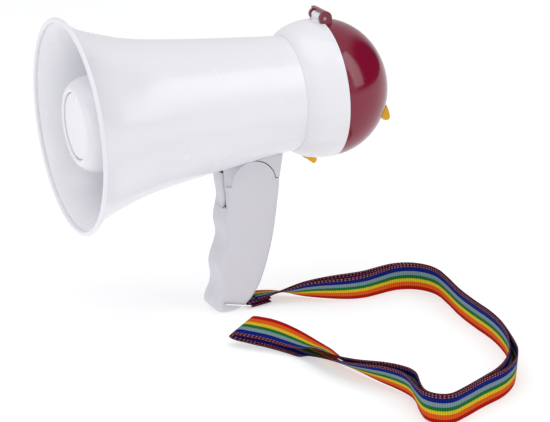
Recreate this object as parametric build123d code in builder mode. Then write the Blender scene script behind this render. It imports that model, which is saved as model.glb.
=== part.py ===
# Small handheld megaphone: a tapered horn with a reflector bullet in the bell, a
# rear housing closed by a hinged dome, and a finger-grooved handle with a trigger
# and a ribbon strap on a wire bail.  Millimetres, +Z up, bell towards -X.

import os
from math import cos, radians, sin, sqrt, tan

from build123d import *

os.makedirs("parts", exist_ok=True)

# ---------------------------------------------------------------- driving sizes
total_length = 195.0        # bell mouth to dome tip
axis_height = 124.0         # horn axis above the foot of the handle
bell_radius = 62.5          # outer radius of the bell's lip
lip_radius = 1.5            # rolled lip of the bell
wall = 2.2                  # moulded wall of horn and housing
waist_x = 134.0             # where the horn enters the rear housing
seam_x = 157.0              # joint face between housing and dome
housing_radius = 40.9       # housing radius at the seam
dome_radius = 40.5
dome_depth = 37.6           # dome tip behind its rim
dome_wall = 2.0
seam_gap = 0.4
handle_half = 11.0          # half the handle's width
shell_wall = 2.4
handle_round = 3.0          # rounding of the handle's long edges
pivot_x = 107.0             # centre of the handle's round head
pivot_z = -48.3
head_radius = 13.5
hinge_x = 157.3             # dome hinge pin
hinge_z = 42.8
ribbon_width = 16.5
ribbon_stack = 3.0          # the doubled ribbon, with the air between its layers

bell_x = -total_length / 2
horn_plane = Plane(origin=(bell_x, 0, axis_height), x_dir=(1, 0, 0), z_dir=(0, -1, 0))
horn_axis = Axis((bell_x, 0, axis_height), (1, 0, 0))


def at(x, y, z):
    """A point given as distance behind the bell, sideways, and above the horn axis."""
    return (bell_x + x, y, axis_height + z)


def cross_plane(x):
    """A plane square to the horn axis, x behind the bell, facing the dome."""
    return Plane(origin=at(x, 0, 0), x_dir=(0, 1, 0), z_dir=(1, 0, 0))


def side_plane(y):
    """A plane square to Y, with the horn plane's own x and height."""
    return Plane(origin=at(0, y, 0), x_dir=(1, 0, 0), z_dir=(0, -1, 0))


def save(piece, label):
    piece.label = label
    export_step(piece, f"parts/{label}.step")


# ---------------------------------------------------------------- horn
horn_outer = [(2.2, 61.0), (6, 58.1), (14, 53.7), (25, 49.7), (38, 45.8), (55, 42.6),
              (75, 39.9), (100, 37.0), (120, 34.9), (waist_x, 33.6)]
horn_inner = [(x, r - wall) for x, r in horn_outer]
spigot_length = 6.0
spigot_radius = 32.9

with BuildPart() as horn:
    with BuildSketch(horn_plane):
        with BuildLine():
            outer_curve = Spline(horn_outer)
            inner_curve = Spline(horn_inner)
            Line(outer_curve @ 0, inner_curve @ 0)
            Line(outer_curve @ 1, inner_curve @ 1)
        make_face()
    revolve(axis=horn_axis)
    with BuildSketch(horn_plane):
        with Locations((lip_radius, bell_radius - lip_radius)):
            Circle(lip_radius)
    revolve(axis=horn_axis)
    with BuildSketch(cross_plane(waist_x - 0.5)):
        Circle(spigot_radius)
        Circle(spigot_radius - wall + 0.7, mode=Mode.SUBTRACT)
    extrude(amount=spigot_length + 0.5)

# ---------------------------------------------------------------- reflector bullet
bullet_ring_x = 4.0
cap_radius = 19.2
bullet_rear_x = 46.0

with BuildPart() as bullet:
    with BuildSketch(horn_plane):
        with BuildLine():
            Polyline((10.2, 0), (8.2, 0), (8.2, cap_radius + 0.3), (bullet_ring_x + 0.6, cap_radius + 0.3))
            Spline((bullet_ring_x + 0.6, cap_radius + 0.3), (bullet_ring_x, cap_radius + 1.6),
                   (6.2, 24.4), (11, 27.0), (18, 28.3), (30, 28.6), (bullet_rear_x, 27.4))
            Line((bullet_rear_x, 27.4), (bullet_rear_x, 25.6))
            Spline((bullet_rear_x, 25.6), (30, 26.6), (18, 26.3), (12.5, 24.0), (10.2, 19.0))
            Line((10.2, 19.0), (10.2, 0))
        make_face()
    revolve(axis=horn_axis)

with BuildPart() as bullet_cap:
    with BuildSketch(horn_plane):
        with BuildLine():
            Polyline((8.15, 0), (8.15, cap_radius), (5.6, cap_radius), (5.2, cap_radius - 0.5))
            Spline((5.2, cap_radius - 0.5), (5.8, 10.0), (6.0, 0))
            Line((6.0, 0), (8.15, 0))
        make_face()
    revolve(axis=horn_axis)

# ---------------------------------------------------------------- throat tube and spider
tube_front_x = 26.0
tube_front_radius = 12.0
tube_rear_radius = 17.0
tube_wall = 1.6
baffle_x = waist_x + spigot_length

with BuildPart() as throat_tube:
    with BuildSketch(horn_plane):
        Polygon((tube_front_x, tube_front_radius), (baffle_x, tube_rear_radius),
                (baffle_x, tube_rear_radius - tube_wall), (tube_front_x, tube_front_radius - tube_wall),
                align=None)
    revolve(axis=horn_axis)

spider_x = 40.0
spider_depth = 5.0
spider_thickness = 1.8
spider_outer = 25.1
tube_slope = (tube_rear_radius - tube_front_radius) / (baffle_x - tube_front_x)
spider_hub_inner = tube_front_radius + tube_slope * (spider_x + spider_depth - tube_front_x) + 0.1

with BuildPart() as spider:
    with BuildSketch(cross_plane(spider_x)):
        Circle(spider_outer)
        Circle(spider_outer - 1.3, mode=Mode.SUBTRACT)
        Circle(spider_hub_inner + 1.6)
        Circle(spider_hub_inner, mode=Mode.SUBTRACT)
        with PolarLocations((spider_hub_inner + 24.6) / 2, 3, start_angle=90):
            Rectangle(24.0 - spider_hub_inner, spider_thickness)
    extrude(amount=spider_depth)

# ---------------------------------------------------------------- speaker
baffle_depth = 2.0
driver_screw_circle = 28.6

with BuildPart() as baffle:
    with BuildSketch(cross_plane(baffle_x)):
        Circle(spigot_radius - 0.1)
        Circle(tube_rear_radius - tube_wall, mode=Mode.SUBTRACT)
        with PolarLocations(driver_screw_circle, 4, start_angle=45):
            Circle(1.1, mode=Mode.SUBTRACT)
    extrude(amount=baffle_depth)

frame_x = baffle_x + baffle_depth

with BuildPart() as driver_frame:
    with BuildSketch(horn_plane):
        Polygon((frame_x, 31.0), (frame_x + 1.2, 31.0), (frame_x + 1.2, 26.0), (frame_x + 2.4, 25.4),
                (frame_x + 7.0, 15.0), (frame_x + 7.0, 10.2), (frame_x + 6.2, 10.2),
                (frame_x + 6.2, 14.2), (frame_x + 1.6, 24.2), (frame_x, 24.2), align=None)
    revolve(axis=horn_axis)
    with BuildSketch(cross_plane(frame_x)):
        with PolarLocations(driver_screw_circle, 4, start_angle=45):
            Circle(1.1)
    extrude(amount=baffle_depth, mode=Mode.SUBTRACT)

with BuildPart() as diaphragm:
    with BuildSketch(horn_plane):
        Polygon((frame_x + 0.2, 23.2), (frame_x + 0.9, 23.2), (frame_x + 5.4, 8.0), (frame_x + 4.6, 0),
                (frame_x + 4.0, 0), (frame_x + 4.7, 8.0), align=None)
    revolve(axis=horn_axis)

with BuildPart() as voice_coil:
    with BuildSketch(cross_plane(frame_x + 5.6)):
        Circle(7.6)
        Circle(6.9, mode=Mode.SUBTRACT)
    extrude(amount=3.2)

yoke_x = frame_x + 7.1
magnet_depth = 4.0

with BuildPart() as magnet_plate:
    with BuildSketch(cross_plane(yoke_x)):
        Circle(14.0)
        Circle(8.4, mode=Mode.SUBTRACT)
    extrude(amount=1.4)

with BuildPart() as driver_magnet:
    with BuildSketch(cross_plane(yoke_x + 1.5)):
        Circle(15.5)
        Circle(9.5, mode=Mode.SUBTRACT)
    extrude(amount=magnet_depth)

with BuildPart() as driver_yoke:
    with BuildSketch(cross_plane(yoke_x + 1.6 + magnet_depth)):
        Circle(13.5)
    extrude(amount=1.4)
    with BuildSketch(cross_plane(yoke_x)):
        Circle(6.3)
    extrude(amount=1.7 + magnet_depth)

with BuildPart() as driver_screws:
    with BuildSketch(cross_plane(baffle_x + 0.1)):
        with PolarLocations(driver_screw_circle, 4, start_angle=45):
            Circle(1.0)
    extrude(amount=baffle_depth + 1.2)
    with BuildSketch(cross_plane(frame_x + 1.25)):
        with PolarLocations(driver_screw_circle, 4, start_angle=45):
            Circle(2.0)
    extrude(amount=1.2)

# ---------------------------------------------------------------- rear housing
housing_outer = [(waist_x, 34.0), (138, 37.3), (142, 39.0), (146, 40.0), (151, 40.7),
                 (seam_x, housing_radius)]
barrel_radius = 2.6
barrel_half = 5.6
pin_bore = 1.06
cheek_radius = 3.2
cheek_inner = 6.0
cheek_outer = 8.4
latch_slot_x = 140.2
latch_slot_length = 10.9
latch_slot_half = 3.2

with BuildPart() as rear_housing:
    with BuildSketch(horn_plane):
        with BuildLine():
            shoulder = Spline(housing_outer)
            Polyline(shoulder @ 1, (seam_x, housing_radius - wall), (145, 37.7), (141, 36.4),
                     (139, 33.1), (waist_x, 33.1), shoulder @ 0)
        make_face()
    revolve(axis=horn_axis)
    with BuildSketch(side_plane(0)):
        with Locations((hinge_x, hinge_z)):
            Circle(barrel_radius)
        with Locations((hinge_x - barrel_radius / 2, hinge_z - 2.1)):
            Rectangle(barrel_radius, 2.2)
    extrude(amount=barrel_half, both=True)
    with BuildSketch(side_plane(0)):
        with Locations((hinge_x, hinge_z)):
            Circle(pin_bore)
    extrude(amount=barrel_half + 1, both=True, mode=Mode.SUBTRACT)
    for side in (-1, 1):
        with BuildSketch(side_plane(side * (cheek_inner + cheek_outer) / 2)):
            with Locations((hinge_x, hinge_z)):
                Circle(cheek_radius + 0.4)
        extrude(amount=(cheek_outer - cheek_inner) / 2 + 0.3, both=True, mode=Mode.SUBTRACT)
    with BuildSketch(Plane.XY.offset(axis_height - housing_radius - 1)):
        with Locations((bell_x + latch_slot_x + latch_slot_length / 2, 0)):
            Rectangle(latch_slot_length, 2 * latch_slot_half)
    extrude(amount=6, mode=Mode.SUBTRACT)

with BuildPart() as hinge_pin:
    with BuildSketch(side_plane(0)):
        with Locations((hinge_x, hinge_z)):
            Circle(pin_bore - 0.03)
    extrude(amount=cheek_outer - 0.1, both=True)

# ---------------------------------------------------------------- rear cover (dome)
rim_x = seam_x + seam_gap
lip_length = 2.4
hood_inner = 2.95
hood_outer = 4.5
hood_start = -35.0
hood_end = 108.0
mic_bore = 5.2
mic_seat_x = 191.0


def hood_point(radius, angle):
    return (hinge_x + radius * cos(radians(angle)), hinge_z + radius * sin(radians(angle)))


with BuildPart() as rear_cover:
    with BuildSketch(horn_plane):
        with Locations((rim_x, 0)):
            Ellipse(dome_depth, dome_radius)
            Ellipse(dome_depth - dome_wall, dome_radius - dome_wall, mode=Mode.SUBTRACT)
        with Locations((rim_x + dome_depth / 2, dome_radius / 2)):
            Rectangle(dome_depth, dome_radius, mode=Mode.INTERSECT)
    revolve(axis=horn_axis)
    with BuildSketch(cross_plane(seam_x - lip_length)):
        Circle(housing_radius - wall - 0.5)
        Circle(housing_radius - wall - 2.0, mode=Mode.SUBTRACT)
    extrude(amount=lip_length + 3.0)
    with BuildSketch(cross_plane(rim_x + 0.4)):
        Circle(dome_radius - 1.2)
        Circle(housing_radius - wall - 2.0, mode=Mode.SUBTRACT)
    extrude(amount=2.2)
    for side in (-1, 1):
        with BuildSketch(side_plane(side * (cheek_inner + cheek_outer) / 2)):
            with Locations((hinge_x, hinge_z)):
                Circle(cheek_radius)
            Polygon((hinge_x, hinge_z), hood_point(hood_outer, hood_end - 6), hood_point(hood_outer, 75),
                    hood_point(hood_outer, 45), hood_point(hood_outer, 15), (hinge_x + hood_outer, 37.4),
                    (rim_x, 38.6), align=None)
        extrude(amount=(cheek_outer - cheek_inner) / 2, both=True)
    with BuildSketch(side_plane(0)):
        with BuildLine():
            hood_top = CenterArc((hinge_x, hinge_z), hood_outer, hood_start, hood_end - hood_start)
            hood_under = CenterArc((hinge_x, hinge_z), hood_inner, hood_start, hood_end - hood_start)
            Line(hood_top @ 0, hood_under @ 0)
            Line(hood_top @ 1, hood_under @ 1)
        make_face()
    extrude(amount=cheek_outer, both=True)
    with BuildSketch(side_plane(0)):
        with Locations((hinge_x, hinge_z)):
            Circle(hood_inner)
        with Locations((hinge_x - 4, hinge_z - 4.5)):
            Rectangle(8, 9)
    extrude(amount=cheek_inner - 0.05, both=True, mode=Mode.SUBTRACT)
    with BuildSketch(side_plane(0)):
        with Locations((hinge_x, hinge_z)):
            Circle(pin_bore)
    extrude(amount=cheek_outer + 1, both=True, mode=Mode.SUBTRACT)
    with BuildSketch(cross_plane(mic_seat_x - 8)):
        Circle(mic_bore)
    extrude(amount=20, mode=Mode.SUBTRACT)
    with BuildSketch(cross_plane(mic_seat_x)):
        Circle(mic_bore + 1.8)
    extrude(amount=8, mode=Mode.SUBTRACT)

# ---------------------------------------------------------------- mode switch on the dome
knob_y = -11.0
knob_z = -17.2
knob_depth = sqrt(1 - (knob_y ** 2 + knob_z ** 2) / dome_radius ** 2) * dome_depth
knob_point = at(rim_x + knob_depth, knob_y, knob_z)
knob_normal = Vector(knob_depth / dome_depth ** 2, knob_y / dome_radius ** 2,
                     knob_z / dome_radius ** 2).normalized()
knob_side = Vector(0, 1, 0) - knob_normal * knob_normal.Y
knob_plane = Plane(origin=knob_point, x_dir=knob_side.normalized(), z_dir=knob_normal)
knob_up = knob_plane.y_dir
knob_travel = 2.5
slot_half = 1.5

with BuildPart() as slot_cutter:
    with BuildSketch(knob_plane.offset(-6)):
        SlotOverall(2 * (knob_travel + 2.4), 2 * slot_half, rotation=90)
    extrude(amount=10)

with BuildPart() as cover_finished:
    add(rear_cover.part)
    add(slot_cutter.part, mode=Mode.SUBTRACT)

with BuildPart() as mode_knob:
    with BuildSketch(knob_plane.offset(-5.5)):
        Rectangle(2 * slot_half - 0.6, 3.4)
    extrude(amount=6.5)
    with BuildSketch(Plane(origin=knob_plane.origin, x_dir=knob_up, z_dir=knob_side)):
        with BuildLine():
            Polyline((4.6, 0.7), (-3.4, 0.7))
            Spline((-3.4, 0.7), (-3.9, 3.2), (-2.6, 5.2), (-0.6, 4.9), (4.6, 0.7))
        make_face()
    extrude(amount=2.6, both=True)

with BuildPart() as mode_switch:
    with BuildSketch(knob_plane.offset(-10.0)):
        Rectangle(5.0, 11.0)
    extrude(amount=3.6)

with BuildPart() as control_board:
    with BuildSketch(knob_plane.offset(-11.8)):
        Rectangle(24.0, 17.0)
    extrude(amount=1.6)

# ---------------------------------------------------------------- microphone
with BuildPart() as mic_grille:
    with BuildSketch(cross_plane(mic_seat_x + 0.1)):
        Circle(mic_bore + 1.6)
        with PolarLocations(1.9, 6):
            Circle(0.55, mode=Mode.SUBTRACT)
        with PolarLocations(3.9, 12):
            Circle(0.55, mode=Mode.SUBTRACT)
        Circle(0.55, mode=Mode.SUBTRACT)
    extrude(amount=1.4)

with BuildPart() as mic_boot:
    with BuildSketch(cross_plane(mic_seat_x - 7.5)):
        Circle(mic_bore - 0.1)
        Circle(3.6, mode=Mode.SUBTRACT)
    extrude(amount=7.4)

with BuildPart() as mic_capsule:
    with BuildSketch(cross_plane(mic_seat_x - 6.5)):
        Circle(3.5)
    extrude(amount=5.2)

# ---------------------------------------------------------------- battery tray
tray_x = 156.6
tray_depth = 11.6
tray_wall = 1.4
cell_radius = 5.2
cell_length = 44.5
cell_count = 4
cell_pitch = 2 * cell_radius + 0.3
tray_half_width = cell_length / 2 + 4.0
tray_half_height = cell_count * cell_pitch / 2 + tray_wall
cell_x = tray_x + tray_wall + cell_radius + 0.1
cell_heights = [cell_pitch * (i - (cell_count - 1) / 2) for i in range(cell_count)]

with BuildPart() as battery_tray:
    with BuildSketch(cross_plane(tray_x)):
        Rectangle(2 * tray_half_width, 2 * tray_half_height)
    extrude(amount=tray_depth)
    with BuildSketch(cross_plane(tray_x + tray_wall)):
        Rectangle(2 * (tray_half_width - tray_wall), 2 * (tray_half_height - tray_wall))
    extrude(amount=tray_depth, mode=Mode.SUBTRACT)
    with BuildSketch(cross_plane(tray_x)):
        with Locations((tray_half_width + 2.0, 0), (-tray_half_width - 2.0, 0)):
            Rectangle(4.4, 9)
    extrude(amount=tray_wall)

with BuildPart() as batteries:
    for height in cell_heights:
        with BuildSketch(Plane(origin=at(cell_x, 0, height), x_dir=(1, 0, 0), z_dir=(0, -1, 0))):
            Circle(cell_radius)
        extrude(amount=cell_length / 2 - 0.6, both=True)

with BuildPart() as battery_contacts:
    for height in cell_heights:
        with BuildSketch(Plane(origin=at(cell_x, -tray_half_width + tray_wall + 0.1, height),
                               x_dir=(1, 0, 0), z_dir=(0, 1, 0))):
            Rectangle(8, 8)
        extrude(amount=0.5)

contact_spring_length = 1.7
with BuildPart() as battery_springs:
    for height in cell_heights:
        with BuildSketch(Plane(origin=at(cell_x, tray_half_width - tray_wall - 0.1, height),
                               x_dir=(1, 0, 0), z_dir=(0, -1, 0))):
            Circle(3.6)
            Circle(2.9, mode=Mode.SUBTRACT)
        extrude(amount=contact_spring_length)

# ---------------------------------------------------------------- tray posts and amplifier
post_y = 28.6
post_radius = 2.1
post_front_x = frame_x + 1.2

with BuildPart() as tray_posts:
    with BuildSketch(cross_plane(post_front_x)):
        with Locations((post_y, 0), (-post_y, 0)):
            Circle(post_radius)
    extrude(amount=tray_x - post_front_x)

with BuildPart() as tray_screws:
    with BuildSketch(cross_plane(tray_x + tray_wall)):
        with Locations((post_y, 0), (-post_y, 0)):
            Circle(1.9)
            Rectangle(2.6, 0.5, mode=Mode.SUBTRACT)
    extrude(amount=1.2)

board_z = -28.6
board_front_x = frame_x + 2.6
board_length = 11.0

with BuildPart() as amp_board:
    with BuildSketch(Plane(origin=at(board_front_x + board_length / 2, 0, board_z), z_dir=(0, 0, 1))):
        Rectangle(board_length, 34)
    extrude(amount=1.4)

with BuildPart() as amp_components:
    with BuildSketch(Plane(origin=at(board_front_x + board_length / 2, 0, board_z), z_dir=(0, 0, -1))):
        with Locations((0, 11), (0, -11)):
            Circle(2.5)
    extrude(amount=4.5)
    with BuildSketch(Plane(origin=at(board_front_x + board_length / 2, 0, board_z), z_dir=(0, 0, -1))):
        Rectangle(5.2, 9.8)
    extrude(amount=1.5)

# ---------------------------------------------------------------- cover latch
latch_z = -36.9
latch_button_x = 143.6
latch_button_half = 2.7

with BuildPart() as cover_latch:
    with BuildSketch(Plane(origin=at(0, 0, latch_z), x_dir=(1, 0, 0), z_dir=(0, 0, 1))):
        with Locations((150.8, 0)):
            Rectangle(6.4, 12.0)
    extrude(amount=1.2)
    with BuildSketch(side_plane(0)):
        with BuildLine():
            Polyline((latch_button_x, -40.9), (latch_button_x + 1.2, latch_z + 0.2),
                     (latch_button_x + 6.6, latch_z + 0.2), (latch_button_x + 6.8, -41.4))
            Spline((latch_button_x + 6.8, -41.4), (latch_button_x + 6.9, -43.0),
                   (latch_button_x + 5.5, -44.6), (latch_button_x + 3.4, -43.5), (latch_button_x, -40.9))
        make_face()
    extrude(amount=latch_button_half, both=True)

with BuildPart() as latch_spring:
    with BuildSketch(side_plane(0)):
        Polygon((142.4, -35.3), (143.0, -35.3), (144.2, -33.2), (143.7, -32.9), align=None)
    extrude(amount=5.0, both=True)

with BuildPart() as cover_catch:
    with BuildSketch(side_plane(0)):
        Polygon((rim_x + 1.0, -36.2), (rim_x + 1.0, -33.8), (150.6, -33.8), (150.6, -34.9),
                (154.8, -34.9), (155.6, -36.2), align=None)
    extrude(amount=4.0, both=True)

# ---------------------------------------------------------------- handle
grip_points = [(90.3, -50), (89.8, -60), (87.5, -71), (88.4, -78.5), (87.2, -84.5), (84.3, -91.5),
               (83.1, -97.5), (83.7, -104), (82.6, -110.5), (79.6, -116.5), (79.4, -121.6),
               (83.4, -124.1), (91.5, -124.2), (98.3, -121.8), (103.4, -116.9), (107.2, -111.6),
               (111.3, -103), (115.5, -91), (118.9, -78), (121.5, -64), (123.4, -52.5), (123.9, -47.1)]
step_x = 120.45
step_z = -47.1


def handle_outline():
    """The side view of the handle, drawn on the horn plane."""
    with BuildLine() as outline:
        Line((90.0, -35), grip_points[0])
        Spline(grip_points)
        Line(grip_points[-1], (step_x, step_z))
        ThreePointArc((step_x, step_z), (pivot_x + head_radius * cos(radians(45)),
                                         pivot_z + head_radius * sin(radians(45))),
                      (pivot_x, pivot_z + head_radius))
        Line((pivot_x, pivot_z + head_radius), (90.0, -35))
    return outline.line


def cavity_outline():
    """The hollow of the handle: its outline drawn in by the wall, with a solid toe."""
    inset = shell_wall + 0.3
    front = [(x + inset, z) for x, z in grip_points[:9]]
    rear = [(x - inset, z + 0.8) for x, z in grip_points[15:]]
    inner_radius = head_radius - shell_wall
    with BuildLine() as outline:
        Line((front[0][0], -38.0), front[0])
        Spline(front)
        Line(front[-1], rear[0])
        Spline(rear)
        Line(rear[-1], (pivot_x + inner_radius, rear[-1][1]))
        Line((pivot_x + inner_radius, rear[-1][1]), (pivot_x + inner_radius, pivot_z))
        ThreePointArc((pivot_x + inner_radius, pivot_z),
                      (pivot_x + inner_radius * cos(radians(45)), pivot_z + inner_radius * sin(radians(45))),
                      (pivot_x, pivot_z + inner_radius))
        Line((pivot_x, pivot_z + inner_radius), (front[0][0], -38.0))
    return outline.line


with BuildPart() as horn_clearance:
    with BuildSketch(horn_plane):
        with BuildLine():
            clearance_curve = Spline([(x, r + 0.15) for x, r in horn_outer[5:]])
            Polyline(clearance_curve @ 1, (waist_x, 0), (55, 0), clearance_curve @ 0)
        make_face()
    revolve(axis=horn_axis)

trigger_slot_half = 6.3
neck_half = 7.3             # half the narrower neck in front of the round head
neck_depth = 3.7
tongue_half = 3.4
bolt_radius = 2.0
bail_x = 84.6
bail_z = -118.4
bail_wire = 0.65
trigger_pin_x = 94.6
trigger_pin_z = -43.6
trigger_pin_radius = 1.0
trigger_notch_x = 84.0
trigger_notch_depth = 10.0

with BuildPart() as handle_solid:
    with BuildSketch(horn_plane):
        with BuildLine():
            add(handle_outline())
        make_face()
    extrude(amount=handle_half, both=True)
    long_edges = edges().filter_by(GeomType.BSPLINE).filter_by(Axis.Y, reverse=True)
    fillet(long_edges, handle_round)
    with BuildSketch(Plane.XY):
        Rectangle(3 * total_length, 3 * total_length)
    extrude(amount=-5, mode=Mode.SUBTRACT)

with BuildPart() as neck_cutter:
    with BuildSketch(Plane(origin=at(pivot_x, 0, pivot_z), x_dir=(-1, 0, 0), z_dir=(0, 0, 1))):
        for side in (-1, 1):
            with BuildLine():
                ThreePointArc((head_radius, side * handle_half), (head_radius + 1.4, side * (handle_half - 2.1)),
                              (head_radius + neck_depth, side * neck_half))
                Polyline((head_radius + neck_depth, side * neck_half), (2 * head_radius, side * neck_half),
                         (2 * head_radius, side * (handle_half + 1)), (head_radius, side * (handle_half + 1)),
                         (head_radius, side * handle_half))
            make_face()
    revolve(axis=Axis(at(pivot_x, 0, pivot_z), (0, 1, 0)))
    with BuildSketch(horn_plane):
        with Locations((pivot_x - head_radius, pivot_z + head_radius)):
            Rectangle(2 * head_radius, 2 * head_radius)
    extrude(amount=2 * handle_half, both=True, mode=Mode.INTERSECT)

with BuildPart() as handle_cavity:
    with BuildSketch(horn_plane):
        with BuildLine():
            add(cavity_outline())
        make_face()
    extrude(amount=handle_half - shell_wall, both=True)
    with BuildSketch(horn_plane):
        with Locations((pivot_x, pivot_z)):
            Circle(2 * head_radius)
            Circle(head_radius - 1.5, mode=Mode.SUBTRACT)
        with Locations((pivot_x - head_radius, pivot_z + head_radius - 1.5)):
            Rectangle(2 * head_radius, 2 * head_radius, mode=Mode.INTERSECT)
    extrude(amount=handle_half, both=True, mode=Mode.SUBTRACT)
    with BuildSketch(horn_plane):
        with BuildLine():
            add(cavity_outline())
        make_face()
    extrude(amount=trigger_slot_half, both=True)

with BuildPart() as handle_shell:
    add(handle_solid.part)
    add(horn_clearance.part, mode=Mode.SUBTRACT)
    add(neck_cutter.part, mode=Mode.SUBTRACT)
    add(handle_cavity.part, mode=Mode.SUBTRACT)
    with BuildSketch(cross_plane(trigger_notch_x)):
        for side in (-1, 1):
            Polygon((side * (trigger_slot_half - 0.1), -56.0), (side * (trigger_slot_half - 0.1), -60.6),
                    (side * 9.6, -61.4), align=None)
    extrude(amount=trigger_notch_depth, mode=Mode.SUBTRACT)
    with BuildSketch(horn_plane):
        with Locations((trigger_pin_x, trigger_pin_z)):
            Circle(trigger_pin_radius + 0.05)
    extrude(amount=handle_half - shell_wall, both=True, mode=Mode.SUBTRACT)
    with BuildSketch(horn_plane):
        with Locations((90, -50.3)):
            Rectangle(12, 23.0)
    extrude(amount=trigger_slot_half, both=True, mode=Mode.SUBTRACT)
    with BuildSketch(horn_plane):
        with Locations((109.5, -44)):
            Rectangle(16.4, 28)
    extrude(amount=tongue_half + 0.4, both=True, mode=Mode.SUBTRACT)
    with BuildSketch(horn_plane):
        with Locations((bail_x, bail_z)):
            Circle(bail_wire + 0.06)
    extrude(amount=handle_half + 1, both=True, mode=Mode.SUBTRACT)

boss_places = [(pivot_x, pivot_z), (103.5, -76), (96.5, -104)]
boss_radius = 3.6
screw_radius = 1.2
seam_half = 0.06            # half the hairline between the two handle halves

with BuildPart() as handle_left:
    add(handle_shell.part)
    with BuildSketch(side_plane(-handle_half + 1.0)):
        with Locations(*boss_places[1:]):
            Circle(boss_radius)
    extrude(amount=-(handle_half - 1.1))
    with BuildSketch(side_plane(-handle_half + 1.0)):
        with Locations(boss_places[0]):
            Circle(boss_radius + 1)
    extrude(amount=-(handle_half - 1.0 - tongue_half - 0.3))
    with BuildSketch(side_plane(-handle_half + shell_wall)):
        with Locations(*boss_places[1:]):
            Circle(screw_radius)
        with Locations(boss_places[0]):
            Circle(bolt_radius)
    extrude(amount=-handle_half, mode=Mode.SUBTRACT)
    with BuildSketch(side_plane(-seam_half)):
        Rectangle(3 * total_length, 3 * total_length)
    extrude(amount=-2 * handle_half, mode=Mode.SUBTRACT)

with BuildPart() as handle_right:
    add(handle_shell.part)
    with BuildSketch(side_plane(handle_half - 1.0)):
        with Locations(*boss_places[1:]):
            Circle(boss_radius)
    extrude(amount=handle_half - 1.1)
    with BuildSketch(side_plane(handle_half - 1.0)):
        with Locations(boss_places[0]):
            Circle(boss_radius + 1)
    extrude(amount=handle_half - 1.0 - tongue_half - 0.3)
    with BuildSketch(side_plane(handle_half + 1)):
        with Locations(*boss_places[1:]):
            Circle(screw_radius + 0.1)
        with Locations(boss_places[0]):
            Circle(bolt_radius + 0.1)
    extrude(amount=handle_half + 2, mode=Mode.SUBTRACT)
    with BuildSketch(side_plane(handle_half + 1)):
        with Locations(*boss_places[1:]):
            Circle(2.5)
        with Locations(boss_places[0]):
            Circle(4.0)
    extrude(amount=3.4, mode=Mode.SUBTRACT)
    with BuildSketch(side_plane(seam_half)):
        Rectangle(3 * total_length, 3 * total_length)
    extrude(amount=2 * handle_half, mode=Mode.SUBTRACT)

with BuildPart() as handle_screws:
    with BuildSketch(side_plane(handle_half - 0.6)):
        with Locations(*boss_places[1:]):
            Circle(2.3)
    extrude(amount=1.7)
    with BuildSketch(side_plane(handle_half - 2.3)):
        with Locations(*boss_places[1:]):
            Circle(screw_radius - 0.05)
    extrude(amount=13.0)

with BuildPart() as handle_bolt:
    with BuildSketch(side_plane(handle_half - 0.4)):
        with Locations(boss_places[0]):
            Circle(3.8)
            RegularPolygon(1.7, 6, mode=Mode.SUBTRACT)
    extrude(amount=1.95)
    with BuildSketch(side_plane(handle_half - 2.3)):
        with Locations(boss_places[0]):
            Circle(bolt_radius - 0.05)
    extrude(amount=15.5)

# ---------------------------------------------------------------- bracket under the horn
seat_radius = head_radius + 0.55

with BuildPart() as handle_bracket:
    with BuildSketch(horn_plane):
        with BuildLine():
            seat = CenterArc((pivot_x, pivot_z), seat_radius, 7.5, 82.5)
            Polyline(seat @ 1, (pivot_x, -32), (127.2, -32), (124.3, -46.5), seat @ 0)
        make_face()
    extrude(amount=handle_half, both=True)
    rear_edges = edges().filter_by(lambda e: e.center().X > bell_x + 125 and abs(abs(e.center().Y) - handle_half) < 0.01)
    fillet(rear_edges, handle_round)
    with BuildSketch(horn_plane):
        with Locations((109.5, -43.5)):
            Rectangle(15.4, 27)
    extrude(amount=tongue_half, both=True)
    with BuildSketch(horn_plane):
        with Locations((pivot_x, pivot_z)):
            Circle(bolt_radius + 0.1)
    extrude(amount=handle_half, both=True, mode=Mode.SUBTRACT)
    add(horn_clearance.part, mode=Mode.SUBTRACT)

# ---------------------------------------------------------------- trigger and talk switch
trigger_half = 5.9
switch_x = 96.0

with BuildPart() as trigger:
    with BuildSketch(horn_plane):
        with BuildLine():
            Spline((88.6, -39.9), (88.1, -46), (88.9, -53), (88.8, -57), (87.9, -60.2))
            Spline((87.9, -60.2), (88.9, -60.9), (90.6, -59.4), (91.4, -56))
            Polyline((91.4, -56), (91.4, -41.2), (88.6, -39.9))
        make_face()
    extrude(amount=trigger_half, both=True)
    front_edges = edges().filter_by(lambda e: e.center().X < bell_x + 88.9 and abs(abs(e.center().Y) - trigger_half) < 0.01)
    fillet(front_edges, 1.2)
    with BuildSketch(horn_plane):
        with Locations((trigger_pin_x, trigger_pin_z)):
            Circle(2.3)
        Polygon((91.0, -41.8), (trigger_pin_x, trigger_pin_z + 2.2), (trigger_pin_x, trigger_pin_z - 2.2),
                (91.0, -46.5), align=None)
    extrude(amount=trigger_half - 0.6, both=True)
    with BuildSketch(horn_plane):
        with Locations((trigger_pin_x, trigger_pin_z)):
            Circle(trigger_pin_radius + 0.06)
    extrude(amount=trigger_half + 1, both=True, mode=Mode.SUBTRACT)
    with BuildSketch(horn_plane):
        with Locations((92.0, -57.0)):
            Rectangle(2.0, 2.4)
    extrude(amount=1.6, both=True)

with BuildPart() as trigger_pin:
    with BuildSketch(horn_plane):
        with Locations((trigger_pin_x, trigger_pin_z)):
            Circle(trigger_pin_radius)
    extrude(amount=handle_half - shell_wall - 0.1, both=True)

spring_wire = 0.17
spring_radius = 1.25
spring_start_y = 5.5

with BuildPart() as trigger_spring:
    for side in (-1, 1):
        for turn in range(2):
            turn_y = side * (spring_start_y + turn * 1.8 * spring_wire)
            with Locations(Location(at(trigger_pin_x, turn_y, trigger_pin_z), (90, 0, 0))):
                Torus(spring_radius, spring_wire)

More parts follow.
